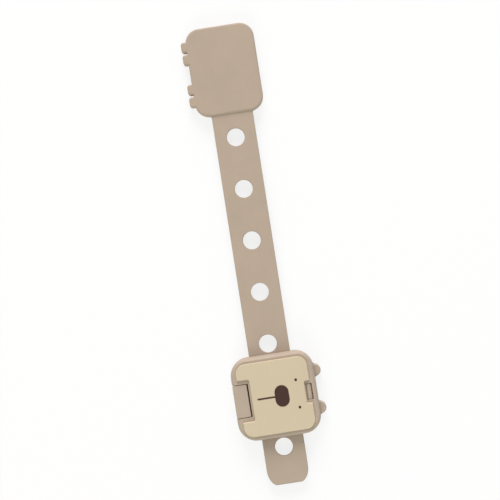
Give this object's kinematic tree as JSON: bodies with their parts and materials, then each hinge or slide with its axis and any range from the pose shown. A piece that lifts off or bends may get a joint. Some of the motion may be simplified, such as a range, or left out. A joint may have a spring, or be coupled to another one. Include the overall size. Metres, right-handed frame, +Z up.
{
  "type": "child safety strap lock",
  "caption": "Stick-on strap lock for cupboards: perforated strap with an end pad, and a square lock box whose hinged lid, button and post hold the strap.",
  "frame": {"origin": "centre of the lock box's adhesive face, under the post that holds the strap", "axes": "+Y along the strap from the lock box to the end pad, +X towards the lid's hinge and the ears, +Z up out of the face that it is stuck to"},
  "size_m": [0.045, 0.2316, 0.0105],
  "materials": {
    "tan_plastic": "satin moulded plastic, tan",
    "strap_plastic": "soft moulded plastic, tan, fine matte",
    "cream_plastic": "satin moulded plastic, pale cream",
    "brown_print": "dark brown print, satin",
    "arm_plastic": "natural white springy plastic",
    "pin_steel": "drawn steel wire",
    "foam_tape": "white foam tape"
  },
  "bodies": {
    "base": {"lock_base": "tan_plastic", "lock_tape": "foam_tape", "hinge_pin": "pin_steel", "latch_arm_upper": "arm_plastic", "latch_arm_lower": "arm_plastic", "strap": "strap_plastic", "end_pad_tape": "foam_tape"},
    "lid": {"lock_lid": "tan_plastic", "face_plate": "cream_plastic", "nose": "brown_print", "mouth": "brown_print", "eye_upper": "brown_print", "eye_lower": "brown_print"},
    "button": {"release_button": "tan_plastic"}
  },
  "joints": [
    {"name": "lid_hinge", "type": "hinge", "parent": "base", "child": "lid", "pos_m": [0.0166, 0, 0.0076], "axis": [0, 1, 0], "range_deg": [0, 90], "deforming": ["latch_arm_upper", "latch_arm_lower"]},
    {"name": "button_press", "type": "slide", "parent": "base", "child": "button", "axis": [1, 0, 0], "range_m": [0, 0.0005], "stiffness_N_per_m": 400, "deforming": ["latch_arm_upper", "latch_arm_lower"]}
  ]
}
